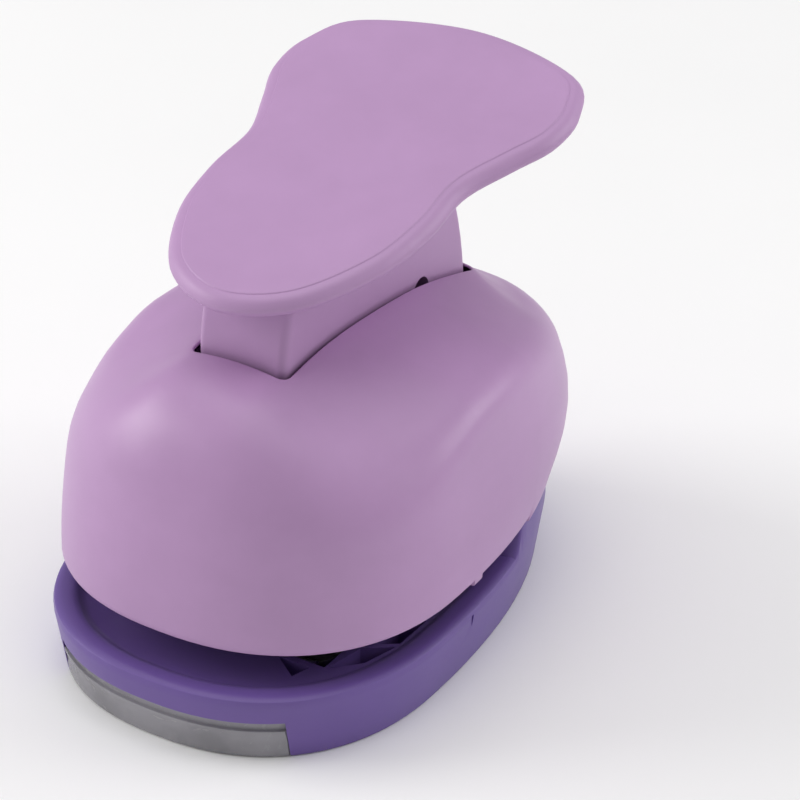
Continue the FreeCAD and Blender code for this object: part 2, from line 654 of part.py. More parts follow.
def boss_places():
    """Centre and outer diameter of each screw boss."""
    places = [(x, y, BASE_SCREW_DIAMETER + 2 * BOSS_WALL) for x, y in BASE_SCREWS]
    return places + [(x, y, GUIDE_SCREW_DIAMETER + 2 * BOSS_WALL) for x, y in GUIDE_SCREWS]


def bosses(low):
    """Screw bosses inside the housing, each tied to the side wall by a rib."""
    built = []
    for x, y, diameter in boss_places():
        x0, x1 = sorted((x, math.copysign(FAR, x)))
        rib = box(x0, x1, y - RIB / 2, y + RIB / 2, SKIRT_Z, BOSS_TOP_Z)
        built.append(rod(x, y, low, BOSS_TOP_Z, diameter).fuse(rib))
    return built


def boss_feet():
    """The lower ends of the bosses, which stand on the guide plate."""
    return [rod(x, y, GUIDE_TOP_Z, SKIRT_Z, diameter) for x, y, diameter in boss_places()]


def all_nodes():
    left, right = POST_PLACES
    return {
        "base_frame": base_frame(),
        "bottom_cover": bottom_cover(),
        "die_plate": die_plate(),
        "guide_plate": guide_plate(),
        "spacer_left": spacer(-1),
        "spacer_right": spacer(1),
        "base_screws": base_screws(),
        "guide_screws": guide_screws(),
        "housing": housing(),
        "pivot_pin": pivot_pin(),
        "stop_pin": stop_pin(),
        "guide_post_left": guide_post(left),
        "guide_post_right": guide_post(right),
        "post_clip_left": post_clip(left),
        "post_clip_right": post_clip(right),
        "return_spring_left": return_spring(left),
        "return_spring_right": return_spring(right),
        "pressure_head": pressure_head(),
        "cutter": cutter(),
        "cutter_screws": cutter_screws(),
        "lever": lever(),
    }


def main():
    os.makedirs("parts", exist_ok=True)
    for name, shape in all_nodes().items():
        box_of = shape.BoundBox
        print("%-20s solids %d valid %s volume %9.2f  x %.2f %.2f  y %.2f %.2f  z %.2f %.2f" % (
            name, len(shape.Solids), shape.isValid(), shape.Volume,
            box_of.XMin, box_of.XMax, box_of.YMin, box_of.YMax, box_of.ZMin, box_of.ZMax))
        shape.exportStep("parts/%s.step" % name)


if __name__ == "__main__":
    main()
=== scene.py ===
import json
import math

import bmesh
import bpy
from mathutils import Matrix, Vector


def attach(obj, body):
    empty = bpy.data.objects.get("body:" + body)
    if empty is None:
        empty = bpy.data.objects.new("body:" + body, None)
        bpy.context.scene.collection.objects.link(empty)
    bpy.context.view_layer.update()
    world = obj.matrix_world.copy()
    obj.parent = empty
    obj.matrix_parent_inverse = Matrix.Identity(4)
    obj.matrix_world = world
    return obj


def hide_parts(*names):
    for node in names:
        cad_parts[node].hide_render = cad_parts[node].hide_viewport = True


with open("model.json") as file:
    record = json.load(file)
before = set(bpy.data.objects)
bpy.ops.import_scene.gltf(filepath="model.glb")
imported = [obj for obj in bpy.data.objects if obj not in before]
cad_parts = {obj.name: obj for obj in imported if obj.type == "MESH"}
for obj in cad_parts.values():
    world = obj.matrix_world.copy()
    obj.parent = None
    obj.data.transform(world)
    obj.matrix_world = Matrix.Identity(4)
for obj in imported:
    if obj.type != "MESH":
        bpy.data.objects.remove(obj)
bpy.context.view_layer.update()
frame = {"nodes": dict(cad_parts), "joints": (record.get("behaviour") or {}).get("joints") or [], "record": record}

bl_info = {
    "name": "Craft punch",
    "version": (1, 0, 0),
    "blender": (4, 5, 0),
    "location": "View3D > Sidebar > Craft punch",
    "description": "Builds the visible shells of a lever craft punch and finishes all its pieces",
    "category": "Add Mesh",
}

MM = 0.001
FAR = 50.0                    # well outside the punch, for tools that cut right through it
TURN = 96                     # points round each egg-shaped ring
SMOOTH = 32.0                 # faces that meet at less than this many degrees shade as one
PIVOT_Y, PIVOT_Z = (value / MM for value in frame["joints"][0]["pos_m"][1:])
SWING = 11.0                  # degrees that the lever turns


# ------------------------------------------------------------------ sizes and colours

def length(name, description, default):
    """A size in the panel; it is given here in millimetres."""
    return bpy.props.FloatProperty(name=name, description=description, default=default * MM,
                                   unit="LENGTH", subtype="DISTANCE", precision=5)


def colour(name, description, default):
    return bpy.props.FloatVectorProperty(name=name, description=description, default=default,
                                         subtype="COLOR", size=3, min=0.0, max=1.0)


class HousingSizes(bpy.types.PropertyGroup):
    """Upper shell"""
    half_width: length("Half width", "Half the width at the lower edge", 25.0)
    front: length("Front reach", "From the widest line to the front tip", 25.4)
    rear: length("Rear reach", "From the widest line to the rear tip", 45.3)
    widest_y: length("Widest line", "Where the plan is widest", -8.5)
    hem_z: length("Hem", "Lower edge over the paper mouth", 13.2)
    hem_rear_z: length("Rear hem", "Lower edge behind the paper mouth", 12.6)
    mouth_end_y: length("Mouth end", "Where the side gap ends", 10.7)
    side_lean: length("Side lean", "How far the side comes in up to the shoulder", 0.8)
    front_lean: length("Front lean", "How far the front comes in up to the shoulder", 4.0)
    belly: length("Belly", "How far the rear half of the side swells out at mid height", 2.0)
    wall: length("Wall", "Thickness of the shell", 2.0)
    slot_half_width: length("Slot half width", "Half the width of the lever slot", 6.54)
    slot_front_y: length("Slot front", "Front end of the lever slot", -17.3)
    slot_rear_y: length("Slot rear", "Rear end of the lever slot", 24.7)
    slot_corner: length("Slot corner", "Corner radius of the slot", 1.2)


class BaseSizes(bpy.types.PropertyGroup):
    """Flared base, its deck and the front cut-out"""
    foot_half_width: length("Foot half width", "Half the width on the table", 23.2)
    foot_front: length("Foot front", "Widest line to the front tip of the foot", 25.2)
    foot_rear: length("Foot rear", "Widest line to the rear tip of the foot", 46.7)
    rim_half_width: length("Rim half width", "Half the width at the rim", 24.6)
    rim_front: length("Rim front", "Widest line to the front tip of the rim", 26.5)
    rim_rear: length("Rim rear", "Widest line to the rear tip of the rim", 47.5)
    widest_y: length("Widest line", "Where the base is widest", -10.5)
    rim_z: length("Rim", "Height of the rim", 8.6)
    heel_z: length("Heel", "Top of the raised wall at the rear", 12.4)
    wall: length("Wall", "Thickness of the outer wall", 2.0)
    notch_half_width: length("Notch half width", "Half the width of the front cut-out", 15.8)
    notch_z: length("Notch height", "Top of the front cut-out", 5.3)


class LeverSizes(bpy.types.PropertyGroup):
    """Thumb pad and stem"""
    pad_y: length("Pad point, Y", "Point on the pad's top face that its outline is measured from", 11.6)
    pad_z: length("Pad point, Z", "Height of that point", 57.96)
    pad_thickness: length("Pad thickness", "Thickness of the pad", 2.6)
    pad_tilt: bpy.props.FloatProperty(name="Pad tilt", description="Slope of the pad, up to the rear",
                                      default=math.radians(11.5), subtype="ANGLE", unit="ROTATION")
    stem_half_width: length("Stem half width", "Half the width of the stem", 6.0)
    stem_radius: length("Stem radius", "Round rear face, centred on the pivot", 43.3)
    stem_corner: length("Stem corner", "Radius of the stem's upright edges", 1.1)


class Finishes(bpy.types.PropertyGroup):
    """Colours of the moulded pieces and metals"""
    lilac: colour("Lilac", "Housing and lever", (0.50, 0.30, 0.54))
    violet: colour("Violet", "Base", (0.155, 0.090, 0.335))
    smoke: colour("Smoke", "Clear cover", (0.36, 0.35, 0.38))
    steel: colour("Steel", "Plates, pins and cutter", (0.52, 0.52, 0.53))
    zinc: colour("Zinc", "Screws and clips", (0.50, 0.50, 0.48))
    natural: colour("Natural", "Pressure head", (0.72, 0.71, 0.67))


def sizes(group):
    """The sizes of a group in millimetres, by name."""
    kept = getattr(bpy.context.scene, group)
    return {name: getattr(kept, name) / MM for name in type(kept).__annotations__}


# ------------------------------------------------------------------ modelling by hand

def deselect():
    if bpy.context.object and bpy.context.object.mode != "OBJECT":
        bpy.ops.object.mode_set(mode="OBJECT")
    bpy.ops.object.select_all(action="DESELECT")


def take_up(piece):
    """Makes piece the only selected object and the active one."""
    deselect()
    piece.select_set(True)
    bpy.context.view_layer.objects.active = piece


def skin(name, rings, closed=False):
    """Skin over rings of points in millimetres: a circle is laid on the first ring and extruded on to each
    next one. closed joins the last ring to the first; otherwise both ends get a flat face."""
    deselect()
    bpy.ops.mesh.primitive_circle_add(vertices=len(rings[0]), radius=MM, fill_type="NOTHING")
    piece = bpy.context.object
    piece.name = name
    bpy.ops.object.mode_set(mode="EDIT")
    bpy.ops.mesh.select_mode(type="VERT")
    bpy.ops.mesh.select_all(action="SELECT")
    mesh = bmesh.from_edit_mesh(piece.data)
    number = mesh.verts.layers.int.new("number")
    mesh.verts.ensure_lookup_table()
    for i, vertex in enumerate(mesh.verts):
        vertex[number] = i
        vertex.co = Vector(rings[0][i]) * MM
    bmesh.update_edit_mesh(piece.data)
    if not closed:
        bpy.ops.mesh.edge_face_add()
    for ring in rings[1:]:
        bpy.ops.mesh.extrude_edges_move()
        mesh = bmesh.from_edit_mesh(piece.data)
        number = mesh.verts.layers.int["number"]
        for vertex in mesh.verts:
            if vertex.select:
                vertex.co = Vector(ring[vertex[number]]) * MM
        bmesh.update_edit_mesh(piece.data)
    if closed:
        mesh = bmesh.from_edit_mesh(piece.data)
        for edge in mesh.edges:
            edge.select_set(edge.is_boundary)
        bmesh.update_edit_mesh(piece.data)
        bpy.ops.mesh.bridge_edge_loops()
    else:
        bpy.ops.mesh.edge_face_add()
    bpy.ops.mesh.select_all(action="SELECT")
    bpy.ops.mesh.normals_make_consistent(inside=False)
    bpy.ops.object.mode_set(mode="OBJECT")
    piece.data.attributes.remove(piece.data.attributes["number"])
    return piece


def prism(name, outline, low, high, axis="Z"):
    """Straight prism on a closed outline. Along Z the points are (x, y), along X they are (y, z)."""
    if axis == "Z":
        return skin(name, [[(a, b, level) for a, b in outline] for level in (low, high)])
    return skin(name, [[(level, a, b) for a, b in outline] for level in (low, high)])


def block(name, x0, x1, y0, y1, z0, z1):
    return prism(name, [(x0, y0), (x1, y0), (x1, y1), (x0, y1)], z0, z1)


def disc(a, b, radius, count=32):
    steps = [2 * math.pi * i / count for i in range(count)]
    return [(a + radius * math.cos(step), b + radius * math.sin(step)) for step in steps]


def joined(pieces):
    """Joins pieces that don't touch into the first one."""
    take_up(pieces[0])
    for piece in pieces[1:]:
        piece.select_set(True)
    bpy.ops.object.join()
    return pieces[0]


def shape_with(piece, tool, operation):
    """Boolean with a tool piece, which is used up."""
    take_up(piece)
    modifier = piece.modifiers.new(operation.title(), "BOOLEAN")
    modifier.object = tool
    modifier.operation = operation
    modifier.solver = "EXACT"
    bpy.ops.object.modifier_apply(modifier=modifier.name)
    bpy.data.objects.remove(tool)
    return piece


def cut(piece, tool):
    return shape_with(piece, tool, "DIFFERENCE")


def add(piece, tool):
    return shape_with(piece, tool, "UNION")


def clean(piece, smooth=35.0):
    """Closes up doubles and shades smooth up to the sharp edges."""
    take_up(piece)
    bpy.ops.object.mode_set(mode="EDIT")
    bpy.ops.mesh.select_all(action="SELECT")
    bpy.ops.mesh.remove_doubles(threshold=0.002 * MM)
    bpy.ops.mesh.dissolve_degenerate(threshold=0.002 * MM)
    bpy.ops.object.mode_set(mode="OBJECT")
    bpy.ops.object.shade_smooth_by_angle(angle=math.radians(smooth))


def egg_angles(front, rear, widest_y, at=()):
    """Angles round an egg: evenly spaced, and one exactly at each wanted y on both sides."""
    angles = [2 * math.pi * i / TURN for i in range(TURN)]
    for y in at:
        along = y - widest_y
        share = min(1.0, abs(along) / (rear if along > 0 else front))
        angle = math.asin(share ** ((REAR_POWER if along > 0 else FRONT_POWER) / 2))
        angle = angle if along > 0 else -angle
        angles += [angle % (2 * math.pi), (math.pi - angle) % (2 * math.pi)]
    angles.sort()
    return angles


FRONT_POWER = 2.3             # 2 is a true ellipse, more is squarer
REAR_POWER = 2.2


def egg(angles, half_width, front, rear, widest_y, inset=0.0):
    """Egg-shaped plan as (x, y) points: blunt in front, long and narrow to the rear."""
    points = []
    for turn in angles:
        side, along = math.cos(turn), math.sin(turn)
        power = 2 / (REAR_POWER if along > 0 else FRONT_POWER)
        reach = (rear if along > 0 else front) - inset
        points.append((math.copysign(abs(side) ** power, side) * (half_width - inset),
                       widest_y + math.copysign(abs(along) ** power, along) * reach))
    return points


def ease(value, low, high):
    """0 below low, 1 above high, smooth between."""
    share = min(1.0, max(0.0, (value - low) / (high - low)))
    return share * share * (3 - 2 * share)


def along_points(points, at):
    """Smooth value at a place from a list of (place, value)."""
    if at <= points[0][0]:
        return points[0][1]
    for i in range(len(points) - 1):
        (x0, y0), (x1, y1) = points[i], points[i + 1]
        if at <= x1:
            before = points[max(0, i - 1)]
            after = points[min(len(points) - 1, i + 2)]
            slope0 = (y1 - before[1]) / (x1 - before[0])
            slope1 = (after[1] - y0) / (after[0] - x0)
            t, span = (at - x0) / (x1 - x0), x1 - x0
            return ((2 * t ** 3 - 3 * t ** 2 + 1) * y0 + (t ** 3 - 2 * t ** 2 + t) * span * slope0
                    + (3 * t ** 2 - 2 * t ** 3) * y1 + (t ** 3 - t ** 2) * span * slope1)
    return points[-1][1]


def finish(piece, name, material, body, slot, *nodes):
    """Hands a finished piece over to the frame in place of its CAD nodes."""
    piece.name = name
    piece.data.name = name
    piece.data.materials.clear()
    piece.data.materials.append(material)
    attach(piece, body)
    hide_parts(*nodes)


# ------------------------------------------------------------------ finishes

class Socket:
    """Wraps a number socket of a material, so that shader maths reads as plain expressions."""

    def __init__(self, shader, link):
        self.shader = shader
        self.link = link

    def maths(self, operation, *inputs):
        return self.shader.node("ShaderNodeMath", {"operation": operation}, dict(enumerate(inputs)))

    def __add__(self, other):
        return self.maths("ADD", self, other)

    def __sub__(self, other):
        return self.maths("SUBTRACT", self, other)

    def __rsub__(self, other):
        return self.maths("SUBTRACT", other, self)

    def __mul__(self, other):
        return self.maths("MULTIPLY", self, other)

    __radd__ = __add__
    __rmul__ = __mul__


class Shader:
    """A material under construction."""

    def __init__(self, name):
        self.material = bpy.data.materials.new(name)
        self.material.use_nodes = True
        self.tree = self.material.node_tree
        self.tree.nodes.clear()

    def node(self, kind, settings=None, inputs=None, output=0):
        """Adds a node: its settings first, then the values or links of its sockets."""
        node = self.tree.nodes.new(kind)
        for name, value in (settings or {}).items():
            setattr(node, name, value)
        for name, value in (inputs or {}).items():
            if isinstance(value, Socket):
                self.tree.links.new(value.link, node.inputs[name])
            else:
                node.inputs[name].default_value = value
        return Socket(self, node.outputs[output])

    def noise(self, scale, detail=4.0, roughness=0.5, stretch=(1.0, 1.0, 1.0)):
        """Noise on Object coordinates, which are metres in the punch's own frame."""
        place = self.node("ShaderNodeTexCoord", output=3)
        place = self.node("ShaderNodeMapping", None, {"Vector": place, "Scale": stretch})
        return self.node("ShaderNodeTexNoise", None,
                         {"Vector": place, "Scale": scale, "Detail": detail, "Roughness": roughness})

    def ramp(self, value, low, high, start=0.0, end=1.0):
        """Maps low..high to start..end and holds both ends."""
        return self.node("ShaderNodeMapRange", {"clamp": True},
                         {"Value": value, "From Min": low, "From Max": high, "To Min": start, "To Max": end})

    def mix(self, share, first, second):
        first, second = ((*value, 1.0) if isinstance(value, tuple) else value for value in (first, second))
        return self.node("ShaderNodeMix", {"data_type": "RGBA"}, {0: share, 6: first, 7: second}, output=2)

    def bump(self, height, strength, distance):
        return self.node("ShaderNodeBump", None,
                         {"Strength": strength, "Distance": distance * MM, "Height": height})

    def surface(self, **inputs):
        """Principled surface on the output; underscores in a socket's name stand for spaces."""
        named = {name.replace("_", " "): value for name, value in inputs.items()}
        shader = self.node("ShaderNodeBsdfPrincipled", None, named)
        output = self.tree.nodes.new("ShaderNodeOutputMaterial")
        self.tree.links.new(shader.link, output.inputs["Surface"])
        return self.material


def shade_of(shade, factor):
    return tuple(min(1.0, value * factor) for value in shade)


def moulded(name, shade, gloss, grain):
    """Satin injection-moulded plastic: fine grain, faint flow marks, a painted highlight that makes sharp edges a
    little paler, and faint paler scuffs of wear.
    """
    s = Shader(name)
    flow = s.noise(38.0, 3.0, 0.55, (1.0, 0.6, 2.2))
    cloud = s.noise(140.0, 5.0, 0.6)
    fine = s.noise(5200.0, 2.0)
    pits = s.noise(1500.0, 3.0, 0.6)
    scuff = s.noise(420.0, 5.0, 0.7, (1.0, 0.35, 1.0))
    # painted highlight: sharp convex edges, found by pointiness, are made paler in the colour itself
    edge = s.ramp(s.node("ShaderNodeNewGeometry", output=7), 0.53, 0.60)
    tone = s.mix(s.ramp(flow * 0.6 + cloud * 0.4, 0.38, 0.62), shade_of(shade, 0.965), shade_of(shade, 1.035))
    # the paler shade carries the painted edge highlight and, much more faintly, real scuff wear
    tone = s.mix(edge * 0.18 + s.ramp(scuff, 0.66, 0.78) * 0.05, tone, shade_of(shade, 1.35))
    rough = cloud * 0.10 + pits * 0.06 + (gloss - 0.08)
    return s.surface(Base_Color=tone, Roughness=rough, IOR=1.49,
                     Normal=s.bump(fine * 0.5 + pits * 0.5, grain, 0.04))


def smoke_clear(shade):
    """Smoke-grey clear plastic with fine scratches and a little dust."""
    s = Shader("Smoke clear plastic")
    dust = s.noise(900.0, 4.0, 0.7)
    scratch = s.noise(420.0, 6.0, 0.75, (0.25, 3.0, 1.0))
    cloud = s.noise(90.0, 4.0, 0.6)
    tone = s.mix(s.ramp(cloud, 0.4, 0.6), shade_of(shade, 0.9), shade_of(shade, 1.15))
    tone = s.mix(s.ramp(dust, 0.62, 0.75) * 0.25, tone, (0.42, 0.42, 0.44))
    return s.surface(Base_Color=tone, Roughness=s.ramp(scratch, 0.45, 0.7, 0.18, 0.34), IOR=1.5,
                     Alpha=0.74, Normal=s.bump(scratch, 0.25, 0.03))


def metal(name, shade, rough, stretch):
    """Bare metal with fine ground or drawn lines and faint handling marks."""
    s = Shader(name)
    lines = s.noise(900.0, 4.0, 0.6, stretch)
    marks = s.noise(220.0, 4.0, 0.65)
    tone = s.mix(s.ramp(lines, 0.35, 0.65), shade_of(shade, 0.86), shade_of(shade, 1.12))
    tone = s.mix(s.ramp(marks, 0.58, 0.72) * 0.4, tone, shade_of(shade, 0.62))
    return s.surface(Base_Color=tone, Metallic=1.0,
                     Roughness=s.ramp(marks + lines, 0.7, 1.3, rough - 0.06, rough + 0.1),
                     Normal=s.bump(lines, 0.35, 0.03))


def natural_plastic(shade):
    """Uncoloured moulded block, slightly waxy, with knit lines."""
    s = Shader("Natural plastic")
    flow = s.noise(90.0, 4.0, 0.6, (0.5, 1.6, 1.0))
    fine = s.noise(2600.0, 3.0)
    tone = s.mix(s.ramp(flow, 0.4, 0.62), shade_of(shade, 0.93), shade_of(shade, 1.05))
    return s.surface(Base_Color=tone, Roughness=flow * 0.2 + 0.36, IOR=1.48, Subsurface_Weight=0.05,
                     Subsurface_Scale=1.0 * MM, Normal=s.bump(fine, 0.4, 0.04))


def table_top():
    s = Shader("Pale table")
    cloud = s.noise(14.0, 3.0)
    grain = s.noise(700.0, 3.0)
    tone = s.mix(s.ramp(cloud, 0.3, 0.7), (0.96, 0.96, 0.96), (0.98, 0.98, 0.98))
    return s.surface(Base_Color=tone, Roughness=0.75, Normal=s.bump(grain, 0.1, 0.05))


# ------------------------------------------------------------------ housing

# height of the slot's upper edge along the punch
RIDGE = [(-17.3, 40.4), (-12.0, 41.15), (-5.9, 41.4), (2.8, 40.9), (11.7, 39.8), (21.0, 37.5), (24.7, 36.3)]
# height of the crease between side and roof along the punch: an arch over the middle, low at the rear
SHOULDER = [(-34.0, 31.2), (-16.0, 31.4), (-9.0, 33.4), (-3.0, 34.9), (3.0, 35.2), (8.0, 35.3), (14.0, 34.3),
            (22.0, 32.3), (30.0, 30.2), (38.0, 29.2)]
# softness of that crease along the punch
SOFTNESS = [(-34.0, 7.5), (-20.0, 6.0), (-8.0, 3.6), (6.0, 2.8), (38.0, 3.0)]
CROWN = 0.6                   # the slot's short ends are this much higher in their middle
ROLL_POWER = 1.85             # fullness of the front's roll from roof to skirt
ROLL_X = (4.0, 24.0)          # the front rolls inside the first and creases beyond the second
SCOOP = [(-8.0, 0.0), (5.0, 0.1), (20.0, 0.5), (30.0, 0.8)]   # hollow of the roof's facets along the punch
BELLY_Y = (-8.5, 22.0)        # the side starts to swell at the first and is full at the second
LIP = 0.45                    # radius of the slot's upper edge
HEM_RADIUS = 0.4
TAB = (-5.2, -3.4)            # small tab on each side of the hem, over the mouth
TAB_DROP = 0.6
STEP = 0.06                   # half the run of a step in the hem or the rim
ROOF_STEPS = (0.13, 0.22, 0.32, 0.42, 0.52, 0.62, 0.72, 0.81, 0.89, 0.95, 1.0)
SKIRT_STEPS = (1.0, 0.84, 0.68, 0.52, 0.36, 0.20, 0.08)
CHEEKS = (2.5, 27.0)          # thickness and lowest point of the walls that hold the pins
BOSSES = ((11.0, 15.0, 3.0), (9.2, 23.2, 3.0), (12.0, -19.6, 2.9))   # x, y, radius
BOSS_TOP = 25.0
CHEEK_GAP = 0.1               # cheeks stand this far outside the slot's edge
CHEEK_Y = (-21.0, 24.5)       # front and rear of the cheeks
CHEEK_TOPS = (35.5, 32.0)     # height of their front and rear ends
CHEEK_STATIONS = (19.0, 11.7, 2.8, -5.9, -12.0, -16.0)
CHEEK_BELOW = 2.2             # between their ends the cheeks stay this far below the ridge
BOSS_BELOW = 1.4              # bosses reach this far below the hem
BELLY_MIDDLE = (0.4, 20.0)    # share of the swelling on the middle line, and the x that adds a whole one
LONGEST_CREASE = 0.45         # the crease takes up at most this share of the roof's run
SKIRT_HEIGHT = 22.0           # height that the softness is measured against on the skirt
TANGENT = 0.02                # short run along the roof that gives its slope at the crease
CREASE_STEPS = (0.15, 0.3, 0.45, 0.6, 0.75, 0.9)
INSIDE_DROP = 1.1             # thickness of the roof, as a share of the wall
INSIDE_SOFTNESS = 0.85        # softness of the crease inside, as a share of that outside


def slot_point(h, x, y):
    """Point of the lever slot's rounded outline that is nearest to a point outside it."""
    half, corner = h["slot_half_width"], h["slot_corner"]
    cx = min(max(x, corner - half), half - corner)
    cy = min(max(y, h["slot_front_y"] + corner), h["slot_rear_y"] - corner)
    away = Vector((x - cx, y - cy)).normalized() * corner
    return cx + away.x, cy + away.y


def skirt_plan(h, angles, share, inset):
    """Plan of the skirt; share is 0 at the hem and 1 at the shoulder."""
    side, front = h["side_lean"] * share ** 1.5, h["front_lean"] * share ** 2
    plan = egg(angles, h["half_width"] - side - inset, h["front"] - front - inset,
               h["rear"] - inset, h["widest_y"])
    swell = h["belly"] * math.sin(math.pi * share)
    result = []
    for x, y in plan:
        outward = Vector((x / h["half_width"] ** 2, (y - h["widest_y"]) / h["rear"] ** 2)).normalized()
        amount = swell * ease(y, *BELLY_Y) * min(1.0, BELLY_MIDDLE[0] + abs(x) / BELLY_MIDDLE[1])
        result.append((x + outward.x * amount, y + outward.y * amount))
    return result


def housing_slices(h, angles, inset, drop, softness):
    """For each angle the points from the slot's edge over roof and crease down the skirt."""
    outside = skirt_plan(h, angles, 1.0, 0.0)
    shoulder = skirt_plan(h, angles, 1.0, inset)
    slices = []
    for i, (sx, sy) in enumerate(shoulder):
        px, py = slot_point(h, *outside[i])
        top = along_points(RIDGE, py) + CROWN * (1 - min(1.0, abs(px) / h["slot_half_width"]) ** 2) - drop
        crease_z = along_points(SHOULDER, outside[i][1])
        low = crease_z - drop
        reach = math.hypot(sx - px, sy - py)
        crease = ease(abs(sx), *ROLL_X) if sy < h["widest_y"] else 1.0
        soft = along_points(SOFTNESS, outside[i][1]) * softness

        def roof(t):
            rolled = max(0.0, 1 - t ** ROLL_POWER) ** (1 / ROLL_POWER)
            straight = 1 - t
            share = rolled + (straight - rolled) * crease
            hollow = along_points(SCOOP, sy) * math.sin(math.pi * t)
            return Vector((px + (sx - px) * t, py + (sy - py) * t, low + (top - low) * share - hollow))
        points = []
        for turn in (0.0, 0.5, 1.0, math.pi / 2):
            lip = roof(LIP * (1 - math.cos(turn)) / reach)
            lip.z -= LIP * (1 - math.sin(turn))
            points.append(lip)
        end = 1 - min(LONGEST_CREASE, soft / reach)
        points += [roof(end * t) for t in ROOF_STEPS]
        before = points[-1]
        corner = before + (before - roof(end - TANGENT)) * ((1 - end) / TANGENT)
        height = crease_z - drop * 0.5 - h["hem_z"]
        upper = 1 - soft / SKIRT_HEIGHT
        skirt = [Vector((*skirt_plan(h, angles[i:i + 1], share, inset)[0], h["hem_z"] + share * height))
                 for share in [upper * step for step in SKIRT_STEPS]]
        points += [(1 - t) ** 2 * before + 2 * t * (1 - t) * corner + t * t * skirt[0]
                   for t in CREASE_STEPS]
        slices.append(points + skirt)
    return slices


class PUNCH_OT_housing(bpy.types.Operator):
    """Upper shell with its roof, soft crease, lever slot, stepped hem and inner walls"""
    bl_idname = "punch.housing"
    bl_label = "Housing"

    def execute(self, context):
        h = sizes("punch_housing")
        stations = [y + side * STEP for y in (*TAB, h["mouth_end_y"]) for side in (-1, 1)]
        angles = egg_angles(h["front"], h["rear"], h["widest_y"], stations)
        outer = housing_slices(h, angles, 0.0, 0.0, 1.0)
        inner = housing_slices(h, angles, h["wall"], h["wall"] * INSIDE_DROP, INSIDE_SOFTNESS)
        hem = []
        for x, y in skirt_plan(h, angles, 0.0, 0.0):
            low = h["hem_z"] if y < h["mouth_end_y"] else h["hem_rear_z"]
            hem.append(low - TAB_DROP if TAB[0] < y < TAB[1] else low)
        rings = list(zip(*outer))
        for inset, lift in ((0.0, 1.0), (0.3, 0.3), (1.0, 0.0)):
            plan = skirt_plan(h, angles, 0.0, inset * HEM_RADIUS)
            rings.append([(*point, low + lift * HEM_RADIUS) for point, low in zip(plan, hem)])
        for inset, lift in ((1.0, 0.0), (0.0, 1.0)):
            plan = skirt_plan(h, angles, 0.0, h["wall"] - inset * HEM_RADIUS)
            rings.append([(*point, low + lift * HEM_RADIUS) for point, low in zip(plan, hem)])
        rings += reversed(list(zip(*inner)))
        shell = skin("Housing", rings, closed=True)
        cheek, cheek_z = CHEEKS
        walls = []
        for side in (-1, 1):
            x0, x1 = sorted(side * (h["slot_half_width"] + out) for out in (CHEEK_GAP, cheek))
            top = [(y, along_points(RIDGE, y) - CHEEK_BELOW) for y in CHEEK_STATIONS]
            front, rear = CHEEK_Y
            outline = [(front, cheek_z), (rear, cheek_z), (rear, CHEEK_TOPS[1])] + top
            outline.append((front, CHEEK_TOPS[0]))
            walls.append(prism("Cheek", outline, x0, x1, "X"))
        for side in (-1, 1):
            for x, y, radius in BOSSES:
                walls.append(prism("Boss", disc(side * x, y, radius), h["hem_z"] - BOSS_BELOW, BOSS_TOP))
        for wall in walls:
            shell = add(shell, wall)
        clean(shell, SMOOTH)
        finish(shell, "Housing", bpy.data.materials["Lilac plastic"], "casing", "lilac_plastic", "housing")
        return {"FINISHED"}


# ------------------------------------------------------------------ base and cover

# rounds of the base: inset and height before the mouth's end, inset and height behind it
BASE_ROUNDS = (
    (0.30, 0.00, 0.30, 0.00), (0.05, 0.12, 0.05, 0.12), (0.00, 0.40, 0.00, 0.40), (0.0, 4.3, 0.0, 4.3),
    (0.00, 7.40, 0.00, 8.10), (0.06, 7.95, 0.20, 12.10), (0.26, 8.38, 0.32, 12.32),
    (0.62, 8.62, 0.55, 12.40), (1.25, 8.72, 1.75, 12.40), (2.20, 8.72, 1.95, 12.30),
    (2.75, 8.64, 2.00, 11.50), (3.10, 8.42, 2.03, 10.00),
    (3.40, 8.12, 2.06, 8.40), (4.00, 8.00, 2.20, 8.00),
)
HEEL_RAMP = 2.4                               # the rim rises into the heel over this length
POCKET = (15.6, -23.1, 27.1, 10.0, 12.3)      # half width, front, rear, taper start, rear half width
CHIP = (10.25, -18.0, 9.0)                    # half width, front, rear of the opening under the die
MARK_OUT = 40.0                               # the mark's tool ends this far out, clear of the wall
POCKET_Z = (5.5, 20.0)                        # the pocket's floor, and a height above the rim
CHIP_TOP = 7.0                                # the chip opening runs up into the pocket
DECK_UNDERSIDE = 3.5
NOTCH_REAR = -24.0
TRUSS = (16.9, 4.6, -8.6, 6.9, 3, 0.62)       # inner line, outer inset, first y, pitch, count, half rib
RIM_INSET = 4.15                              # openings stay this far inside the rim
FRONT_HOLES = (((9.8, -24.0), (14.2, -24.0), (13.4, -26.6)),
               ((15.9, -23.2), (19.0, -19.8), (20.9, -15.0), (17.0, -17.6)),
               ((17.2, -16.4), (20.6, -14.2), (22.4, -8.4), (17.6, -10.2)))
MARK = (-4.6, -4.1, 5.8, 7.9, 0.4)            # upright mark on the wall: y from and to, z from and to, depth


def base_plan(b, angles, z, inset):
    """Plan of the flared wall at a height."""
    share = min(1.0, z / b["rim_z"])
    foot = (b["foot_half_width"], b["foot_front"], b["foot_rear"])
    rim = (b["rim_half_width"], b["rim_front"], b["rim_rear"])
    size = [a + (c - a) * share - inset for a, c in zip(foot, rim)]
    return egg(angles, *size, b["widest_y"])


def base_block(b, name, low, high, inset):
    angles = egg_angles(b["rim_front"], b["rim_rear"], b["widest_y"])
    return skin(name, [[(*point, z) for point in base_plan(b, angles, z, inset)] for z in (low, high)])


def half_width_at(b, y):
    """Half width of the rim at y."""
    along = y - b["widest_y"]
    power = REAR_POWER if along > 0 else FRONT_POWER
    reach = b["rim_rear"] if along > 0 else b["rim_front"]
    return b["rim_half_width"] * (1 - abs(along / reach) ** power) ** (1 / power)


